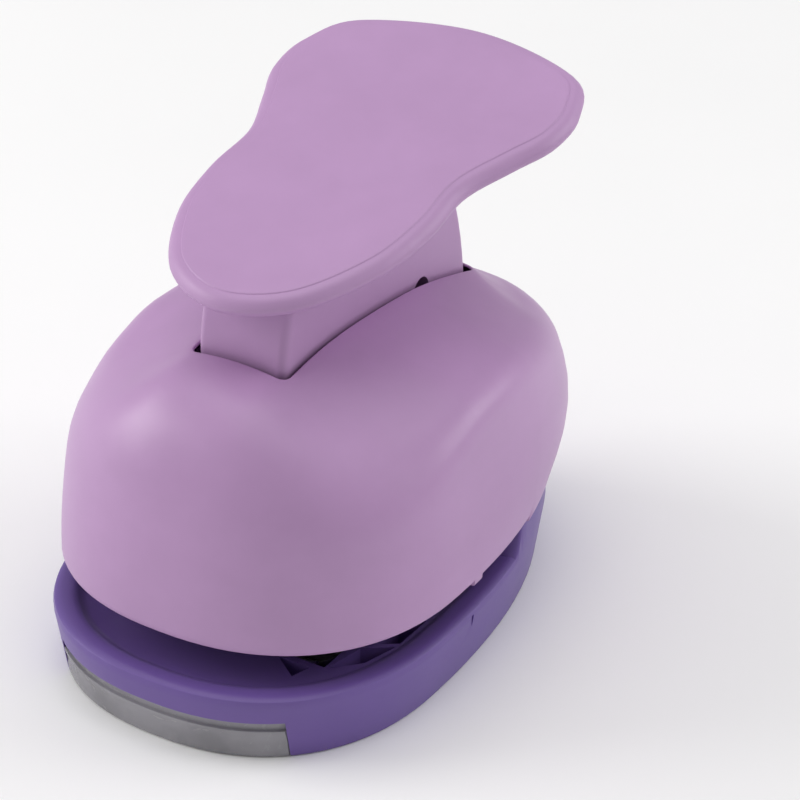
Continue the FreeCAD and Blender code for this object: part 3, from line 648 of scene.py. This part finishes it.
def shrunk(corners, gap):
    """Triangle with each side moved inwards by gap."""
    middle = sum((Vector(corner) for corner in corners), Vector((0, 0))) / 3
    sides = []
    for i in range(3):
        a, b = Vector(corners[i]), Vector(corners[(i + 1) % 3])
        normal = Vector((-(b - a).y, (b - a).x)).normalized()
        if (middle - a).dot(normal) < 0:
            normal = -normal
        sides.append((a + normal * gap, b + normal * gap))
    result = []
    for i in range(3):
        (a, b), (c, d) = sides[i - 1], sides[i]
        cross = (b - a).cross(d - c)
        result.append(tuple(a + (b - a) * ((c - a).cross(d - c) / cross)))
    return result


class PUNCH_OT_base(bpy.types.Operator):
    """Dark base: flared wall, rolled rim, deck with slanting ribs, raised heel, front cut-out"""
    bl_idname = "punch.base"
    bl_label = "Base"

    def execute(self, context):
        b = sizes("punch_base")
        mouth_end = sizes("punch_housing")["mouth_end_y"]
        stations = [mouth_end - HEEL_RAMP * share for share in (0.0, 0.25, 0.5, 0.75, 1.0)]
        angles = egg_angles(b["rim_front"], b["rim_rear"], b["widest_y"], stations)
        ramp = [ease(y, mouth_end - HEEL_RAMP, mouth_end) for x, y in base_plan(b, angles, b["rim_z"], 0.0)]
        rings = []
        for inset, z, heel_inset, heel_z in BASE_ROUNDS:
            front = base_plan(b, angles, z, inset)
            heel = base_plan(b, angles, heel_z, heel_inset)
            rings.append([Vector((*front[i], z)).lerp(Vector((*heel[i], heel_z)), share)
                          for i, share in enumerate(ramp)])
        base = skin("Base", rings)
        cut(base, base_block(b, "Room", -1.0, DECK_UNDERSIDE, b["wall"]))
        half = b["notch_half_width"]
        cut(base, block("Notch", -half, half, -FAR, NOTCH_REAR, -1.0, b["notch_z"]))
        side, front, rear, taper, rear_side = POCKET
        outline = [(-side, front), (side, front), (side, taper),
                   (rear_side, rear), (-rear_side, rear), (-side, taper)]
        cut(base, prism("Pocket", outline, *POCKET_Z))
        cut(base, block("Chips", -CHIP[0], CHIP[0], CHIP[1], CHIP[2], 0.0, CHIP_TOP))
        inner, inset, start, pitch, count, gap = TRUSS
        holes = []
        for turn in (-1, 1):
            corners = []
            for k in range(count):
                y0, y1, y2 = (start + pitch * (k + step) for step in (0, 0.5, 1.0))
                out1, out2 = (half_width_at(b, y) - inset for y in (y1, y1 + pitch))
                corners.append([(inner, y0), (inner, y2), (out1, y1)])
                if k < count - 1:
                    corners.append([(out1, y1), (out2, y1 + pitch), (inner, y2)])
            for triangle in corners:
                outline = [(turn * x, y) for x, y in shrunk(triangle, gap)]
                holes.append(prism("Hole", outline, DECK_UNDERSIDE - 1, b["rim_z"] + 1))
            for corners in FRONT_HOLES:
                outline = [(turn * min(x, half_width_at(b, y) - RIM_INSET), y) for x, y in corners]
                holes.append(prism("Hole", outline, DECK_UNDERSIDE - 1, b["rim_z"] + 1))
            y0, y1, z0, z1, depth = MARK
            wall_x = max(x for x, y in base_plan(b, angles, z1, depth) if abs(y - y0) < 3)
            holes.append(block("Mark", *sorted((turn * wall_x, turn * MARK_OUT)), y0, y1, z0, z1))
        cut(base, joined(holes))
        clean(base, SMOOTH)
        finish(base, "Base", bpy.data.materials["Violet plastic"], "casing", "violet_plastic", "base_frame")
        return {"FINISHED"}


# rounds of the cover's front wall: inset and height
COVER_ROUNDS = ((0.35, 0.0), (0.05, 0.15), (0.0, 0.4), (0.0, 1.0), (0.04, 1.6), (0.10, 2.1), (0.12, 2.6),
                (0.08, 3.1), (0.02, 3.5), (0.0, 3.85), (0.06, 3.98), (0.42, 4.06), (0.48, 4.14), (0.50, 5.12))
COVER_GAP = 0.15
COVER_WALL = 1.2
COVER_Z = 3.3
COVER_ABOVE = 9.0             # a height above the cover, where its cutting tools end


class PUNCH_OT_cover(bpy.types.Operator):
    """Clear cover under the base, with the ledge of its front wall"""
    bl_idname = "punch.cover"
    bl_label = "Cover"

    def execute(self, context):
        b = sizes("punch_base")
        angles = egg_angles(b["rim_front"], b["rim_rear"], b["widest_y"])
        rings = [[(*point, z) for point in base_plan(b, angles, z, inset)] for inset, z in COVER_ROUNDS]
        front = skin("Cover", rings)
        side = b["notch_half_width"] - COVER_GAP
        window = block("Side", -side, side, -FAR, NOTCH_REAR - COVER_GAP, -1.0, COVER_ABOVE)
        shape_with(front, window, "INTERSECT")
        add(front, base_block(b, "Tray", 0.0, COVER_Z, b["wall"] + COVER_GAP))
        inset = b["wall"] + COVER_GAP + COVER_WALL
        cut(front, base_block(b, "Inside", COVER_WALL, COVER_ABOVE, inset))
        inner = base_block(b, "Front inside", COVER_WALL, COVER_ABOVE, COVER_WALL)
        limit = block("Limit", COVER_WALL - side, side - COVER_WALL, -FAR, NOTCH_REAR + COVER_WALL,
                      -1.0, COVER_ABOVE + 1)
        cut(front, shape_with(inner, limit, "INTERSECT"))
        clean(front, SMOOTH)
        finish(front, "Cover", bpy.data.materials["Smoke clear plastic"], "casing", "smoke_clear",
               "bottom_cover")
        return {"FINISHED"}


# ------------------------------------------------------------------ lever

# half of the pad's outline: half width, distance along the pad from its reference point
PAD_OUTLINE = ((0.0, -34.2), (8.4, -30.6), (13.8, -21.4), (15.3, -12.6), (15.1, -4.6), (17.5, 2.2),
               (19.8, 8.2), (19.4, 14.6), (15.0, 21.0), (0.0, 24.6))
PAD_TURN = 132                # points round the pad
# rounds of the pad from its top face down to its underside: inset and depth
PAD_ROUNDS = ((2.30, 0.00), (1.78, 0.00), (1.70, 0.03), (1.62, 0.13), (1.50, 0.15), (1.15, 0.20),
              (0.78, 0.36), (0.45, 0.62), (0.18, 0.98), (0.03, 1.25), (0.00, 1.50), (0.09, 1.86),
              (0.34, 2.20), (0.72, 2.45), (1.25, 2.60))
NOSE_ARM = 16.0               # pivot to the centre of the nose
NOSE_RADIUS = 3.0
NOSE_HALF_WIDTH = 5.4
BORE_RADIUS = 2.05
ROUND = 48                    # points round the boss, the nose and the bore
STEM_FRONT = (-16.7, 1.7)     # the stem's front face, and how far it leans back to its top
STEM_LEAN_Z = (41.0, 51.0)    # heights between which it leans
STEM_BLENDS = (0.35, 0.7, 1.0)   # sections between the last level and the pad
STEM_RISE = (3.0, 9.0)        # height that the front and the rear gain over those sections
PAD_BITE = 0.8                # the stem goes this far into the pad
WEB_FRONT = [(8.4, 35.0), (4.3, 27.5)]               # front edge of the web under the stem
WEB_LEVELS = (27.5, 29.0, 30.5, 32.0, 33.5, 35.0)    # heights of the points on its round rear edge
WEB_INSIDE = 0.06             # that edge lies this far inside the stem's
# corners of the arm that joins the pivot boss to the stem
ARM = [(-19.5, 32.0), (-0.6, 33.0), (-0.6, 35.6), (-19.5, 35.6)]
BOSS_RADIUS = 3.6
STOP = (33.0, 1.7)            # stop slot: radius of its arc about the pivot and half its width
STEM_LEVELS = (34.2, 36.5, 39.0, 41.5, 44.0, 46.0, 48.0)


def closed_curve(points, count):
    """Smooth closed curve through points, evenly spaced."""
    dense = []
    size = len(points)
    for i in range(size):
        a, b, c, d = (Vector(points[(i + k) % size]) for k in (-1, 0, 1, 2))
        for step in range(24):
            t = step / 24
            dense.append(0.5 * ((2 * b) + (c - a) * t + (2 * a - 5 * b + 4 * c - d) * t * t
                                + (3 * b - a - 3 * c + d) * t ** 3))
    walks = [0.0]
    for a, b in zip(dense, dense[1:] + dense[:1]):
        walks.append(walks[-1] + (b - a).length)
    result, k = [], 0
    for i in range(count):
        wanted = walks[-1] * i / count
        while walks[k + 1] < wanted:
            k += 1
        share = (wanted - walks[k]) / (walks[k + 1] - walks[k])
        result.append(dense[k].lerp(dense[(k + 1) % len(dense)], share))
    return result


def pulled_in(points, inset):
    """A closed curve moved inwards along its normals; the curve runs anticlockwise."""
    moved = []
    for i, point in enumerate(points):
        along = (points[(i + 1) % len(points)] - points[i - 1]).normalized()
        moved.append(point + Vector((-along.y, along.x)) * inset)
    return moved


def rounded_section(half, y0, y1, corner):
    """Rounded rectangle across the stem as (x, y) points, anticlockwise from the front right."""
    points = []
    for cx, cy, start in ((half - corner, y0 + corner, -90), (half - corner, y1 - corner, 0),
                          (corner - half, y1 - corner, 90), (corner - half, y0 + corner, 180)):
        for step in range(7):
            turn = math.radians(start + step * 15)
            points.append((cx + corner * math.cos(turn), cy + corner * math.sin(turn)))
    return points


class PUNCH_OT_lever(bpy.types.Operator):
    """Thumb pad with its rolled edge, stem with the stop slot, pivot boss and nose"""
    bl_idname = "punch.lever"
    bl_label = "Lever"

    def execute(self, context):
        v = sizes("punch_lever")
        tilt = context.scene.punch_lever.pad_tilt
        half = v["stem_half_width"]
        outline = list(PAD_OUTLINE) + [(-x, y) for x, y in PAD_OUTLINE[-2:0:-1]]
        curve = closed_curve(outline, PAD_TURN)
        rings = []
        for inset, depth in PAD_ROUNDS:
            rings.append([(point.x,
                           v["pad_y"] + point.y * math.cos(tilt) + depth * math.sin(tilt),
                           v["pad_z"] + point.y * math.sin(tilt) - depth * math.cos(tilt))
                          for point in pulled_in(curve, inset)])
        pad = skin("Lever", rings)

        def rear_y(z):
            return PIVOT_Y + math.sqrt(v["stem_radius"] ** 2 - (z - PIVOT_Z) ** 2)

        def front_y(z):
            return STEM_FRONT[0] + STEM_FRONT[1] * ease(z, *STEM_LEAN_Z)

        corner, level = v["stem_corner"], STEM_LEVELS[-1]
        sections = [[(*point, z) for point in rounded_section(half, front_y(z), rear_y(z), corner)]
                    for z in STEM_LEVELS]
        for share in STEM_BLENDS:
            section = []
            front, rear = front_y(level + STEM_RISE[0] * share), rear_y(level + STEM_RISE[1] * share)
            for x, y in rounded_section(half, front, rear, corner):
                pad_top = v["pad_z"] + (y - v["pad_y"]) * math.tan(tilt)
                under_pad = pad_top - (v["pad_thickness"] - PAD_BITE)
                section.append((x, y, level + (under_pad - level) * share))
            sections.append(section)
        lever = add(pad, skin("Stem", sections))
        # the tools differ a little in width, so that no two faces lie in one plane
        web = WEB_FRONT + [(rear_y(z) - WEB_INSIDE, z) for z in WEB_LEVELS]
        web = prism("Web", web, -half + 0.05, half - 0.05, "X")
        arm = prism("Arm", ARM, -half + 0.15, half - 0.15, "X")
        nose_y = PIVOT_Y + NOSE_ARM * math.cos(math.radians(SWING / 2))
        nose_z = PIVOT_Z + NOSE_ARM * math.sin(math.radians(SWING / 2))
        boss = prism("Boss", disc(PIVOT_Y, PIVOT_Z, BOSS_RADIUS, ROUND), -half + 0.1, half - 0.1, "X")
        nose = prism("Nose", disc(nose_y, nose_z, NOSE_RADIUS, ROUND), -NOSE_HALF_WIDTH, NOSE_HALF_WIDTH, "X")
        for tool in (web, arm, boss, nose):
            add(lever, tool)
        radius, room = STOP
        arc = []
        for sign, steps in ((1, range(0, 13)), (-1, range(12, -1, -1))):
            for step in steps:
                turn = math.radians(SWING * step / 12)
                arc.append((PIVOT_Y + (radius + sign * room) * math.cos(turn),
                            PIVOT_Z + (radius + sign * room) * math.sin(turn)))
            end = math.radians(SWING if sign > 0 else 0.0)
            cy, cz = PIVOT_Y + radius * math.cos(end), PIVOT_Z + radius * math.sin(end)
            for step in range(1, 12):
                turn = end + math.pi * step / 12 + (0 if sign > 0 else math.pi)
                arc.append((cy + room * math.cos(turn), cz + room * math.sin(turn)))
        cut(lever, prism("Stop slot", arc, -half - 1, half + 1, "X"))
        cut(lever, prism("Bore", disc(PIVOT_Y, PIVOT_Z, BORE_RADIUS, ROUND), -half - 1, half + 1, "X"))
        clean(lever, SMOOTH)
        finish(lever, "Lever", bpy.data.materials["Lilac plastic lever"], "lever", "lilac_plastic", "lever")
        return {"FINISHED"}


# ------------------------------------------------------------------ pieces kept from the frame

class PUNCH_OT_finishes(bpy.types.Operator):
    """Mixes every finish and lays it on the plates, pins, springs, screws, cutter and head"""
    bl_idname = "punch.finishes"
    bl_label = "Finishes"

    def execute(self, context):
        shades = {name: tuple(getattr(context.scene.punch_finishes, name))
                  for name in Finishes.__annotations__}
        moulded("Lilac plastic", shades["lilac"], 0.39, 0.25)
        moulded("Lilac plastic lever", shade_of(shades["lilac"], 1.0), 0.47, 0.36)
        moulded("Violet plastic", shades["violet"], 0.40, 0.25)
        smoke_clear(shades["smoke"])
        by_slot = {
            "plate_steel": metal("Plate steel", shades["steel"], 0.30, (0.12, 3.0, 1.0)),
            "cutter_steel": metal("Cutter steel", shade_of(shades["steel"], 0.9), 0.24, (1.0, 1.0, 0.1)),
            "pin_steel": metal("Pin steel", shade_of(shades["steel"], 1.1), 0.26, (0.1, 2.0, 2.0)),
            "zinc_steel": metal("Zinc steel", shades["zinc"], 0.36, (1.0, 1.0, 1.0)),
            "spring_steel": metal("Spring steel", shade_of(shades["steel"], 0.85), 0.32, (1.0, 1.0, 4.0)),
            "head_plastic": natural_plastic(shades["natural"]),
        }
        for part in frame["record"]["subparts"]:
            if part["material_slot"] in by_slot:
                for slot in frame["nodes"][part["node"]].material_slots:
                    slot.material = by_slot[part["material_slot"]]
        return {"FINISHED"}


# ------------------------------------------------------------------ stage

def area_light(name, place, aim, size, power, tint):
    deselect()
    bpy.ops.object.light_add(type="AREA", location=place)
    light = bpy.context.object
    light.name = name
    light.data.shape = "RECTANGLE"
    light.data.size, light.data.size_y = size
    light.data.energy = power
    light.data.color = tint
    light.rotation_mode = "QUATERNION"
    light.rotation_quaternion = (Vector(aim) - Vector(place)).to_track_quat("-Z", "Y")
    return light


LAMPS = (   # name, place, size, power, tint
    ("Key softbox", (-0.60, -0.27, 0.33), (0.42, 0.36), 2.55, (1.0, 0.985, 0.98)),
    ("Rear softbox", (0.50, 0.42, 0.36), (0.45, 0.35), 1.6, (1.0, 0.99, 1.0)),
    ("Overhead", (-0.05, 0.05, 0.85), (0.8, 0.8), 3.1, (1.0, 1.0, 1.0)),
)
SKY = 0.335                   # strength of the even light from all round


class PUNCH_OT_stage(bpy.types.Operator):
    """Pale table, soft studio light and the camera"""
    bl_idname = "punch.stage"
    bl_label = "Stage"

    def execute(self, context):
        deselect()
        bpy.ops.mesh.primitive_plane_add(size=6.0, location=(0, 0, -0.05 * MM))
        table = context.object
        table.name = "Table"
        table.data.materials.append(table_top())

        middle = (0.0, 0.0, 25 * MM)
        for name, place, size, power, tint in LAMPS:
            area_light(name, place, middle, size, power, tint)

        world = bpy.data.worlds.new("Studio")
        world.use_nodes = True
        world.node_tree.nodes["Background"].inputs["Color"].default_value = (1.0, 1.0, 1.0, 1.0)
        world.node_tree.nodes["Background"].inputs["Strength"].default_value = SKY
        context.scene.world = world
        context.scene.view_settings.view_transform = "Standard"

        place, aim = Vector((0.18599, -0.28557, 0.22412)), Vector((0.0, 0.0005, 0.0267))
        bpy.ops.object.camera_add(location=place)
        camera = context.object
        camera.name = "Camera"
        camera.data.lens = 148.3
        camera.data.sensor_width = 36.0
        camera.data.shift_x = 0.0968
        camera.data.shift_y = 0.0046
        camera.data.clip_start = 0.01
        camera.rotation_mode = "QUATERNION"
        camera.rotation_quaternion = (aim - place).to_track_quat("-Z", "Y")
        context.scene.camera = camera
        return {"FINISHED"}


# ------------------------------------------------------------------ panel and running

class PUNCH_PT_panel(bpy.types.Panel):
    """Lists the pieces of the punch, with their sizes and colours"""
    bl_label = "Craft punch"
    bl_idname = "PUNCH_PT_panel"
    bl_space_type = "VIEW_3D"
    bl_region_type = "UI"
    bl_category = "Craft punch"

    def draw(self, context):
        for operator in OPERATORS:
            self.layout.operator(operator.bl_idname)
        for name, group in GROUPS.items():
            box = self.layout.box()
            box.label(text=group.__doc__)
            for size in group.__annotations__:
                box.prop(getattr(context.scene, name), size)


GROUPS = {"punch_housing": HousingSizes, "punch_base": BaseSizes, "punch_lever": LeverSizes,
          "punch_finishes": Finishes}
OPERATORS = (PUNCH_OT_finishes, PUNCH_OT_housing, PUNCH_OT_base, PUNCH_OT_cover, PUNCH_OT_lever,
             PUNCH_OT_stage)


def register():
    for kind in (*GROUPS.values(), *OPERATORS, PUNCH_PT_panel):
        bpy.utils.register_class(kind)
    for name, group in GROUPS.items():
        setattr(bpy.types.Scene, name, bpy.props.PointerProperty(type=group))


def unregister():
    for name in GROUPS:
        delattr(bpy.types.Scene, name)
    for kind in (PUNCH_PT_panel, *reversed(OPERATORS), *reversed(GROUPS.values())):
        bpy.utils.unregister_class(kind)


def main():
    register()
    for operator in OPERATORS:
        group, name = operator.bl_idname.split(".")
        getattr(getattr(bpy.ops, group), name)()


if __name__ == "__main__":
    main()
